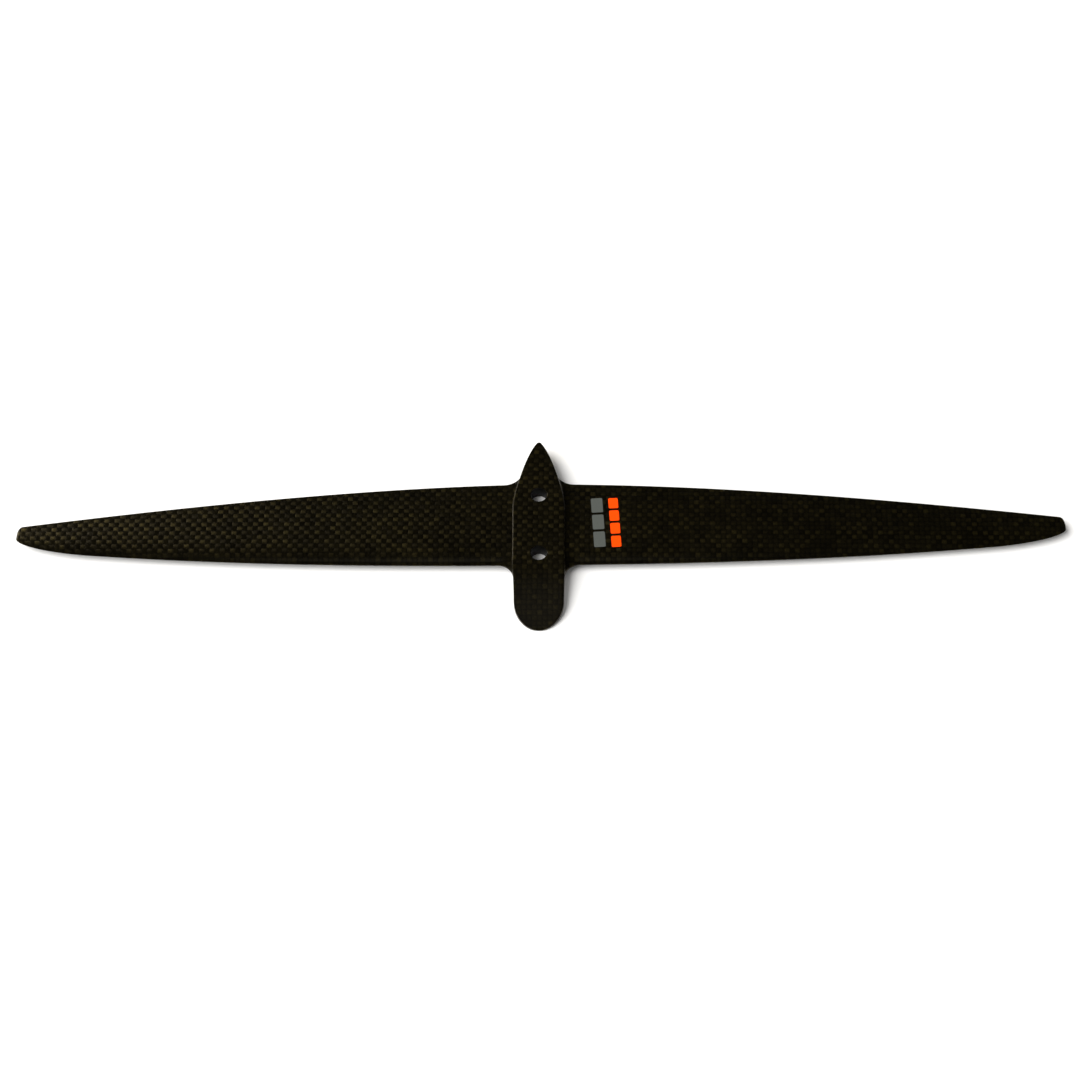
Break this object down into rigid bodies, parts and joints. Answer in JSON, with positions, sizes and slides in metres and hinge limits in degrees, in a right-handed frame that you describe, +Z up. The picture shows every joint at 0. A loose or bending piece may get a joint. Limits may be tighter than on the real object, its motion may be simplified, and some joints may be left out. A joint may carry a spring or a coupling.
{
  "type": "hydrofoil rear stabiliser wing",
  "caption": "Slender tapered carbon wing with a raised central hub, pointed tail, rounded front tongue and two plain bolt holes, for the tail of a hydrofoil fuselage.",
  "frame": {"origin": "midway between the two bolt axes, on the flat underside of the hub", "axes": "+X along the span, +Y to the rear (towards the pointed tail), +Z up out of the face that carries the raised hub"},
  "size_m": [0.4196, 0.0848, 0.0068],
  "materials": {
    "carbon_cloth": "woven carbon cloth under clear epoxy, polished",
    "unidirectional_carbon": "carbon fibres all along the span, cured and keyed for bonding",
    "carbon_roving": "bundle of carbon fibres wetted with epoxy",
    "core_foam": "closed-cell structural foam, milled",
    "filled_resin": "epoxy filled with chopped carbon fibre",
    "solid_laminate": "solid carbon laminate, milled",
    "sleeve_tube": "dark wound tube, smooth inside",
    "grey_film": "printed grey film under clear coat",
    "orange_film": "printed orange film under clear coat"
  },
  "bodies": {
    "root": {"upper_skin": "carbon_cloth", "lower_skin": "carbon_cloth", "main_spar": "unidirectional_carbon", "left_leading_edge_roving": "carbon_roving", "right_leading_edge_roving": "carbon_roving", "left_nose_core": "core_foam", "right_nose_core": "core_foam", "left_aft_core": "core_foam", "right_aft_core": "core_foam", "left_trailing_edge_strip": "filled_resin", "right_trailing_edge_strip": "filled_resin", "upper_hub_core": "solid_laminate", "lower_hub_core": "solid_laminate", "tongue_core": "filled_resin", "tail_core": "filled_resin", "front_bolt_sleeve": "sleeve_tube", "rear_bolt_sleeve": "sleeve_tube", "grey_marking": "grey_film", "orange_marking": "orange_film"}
  },
  "joints": []
}
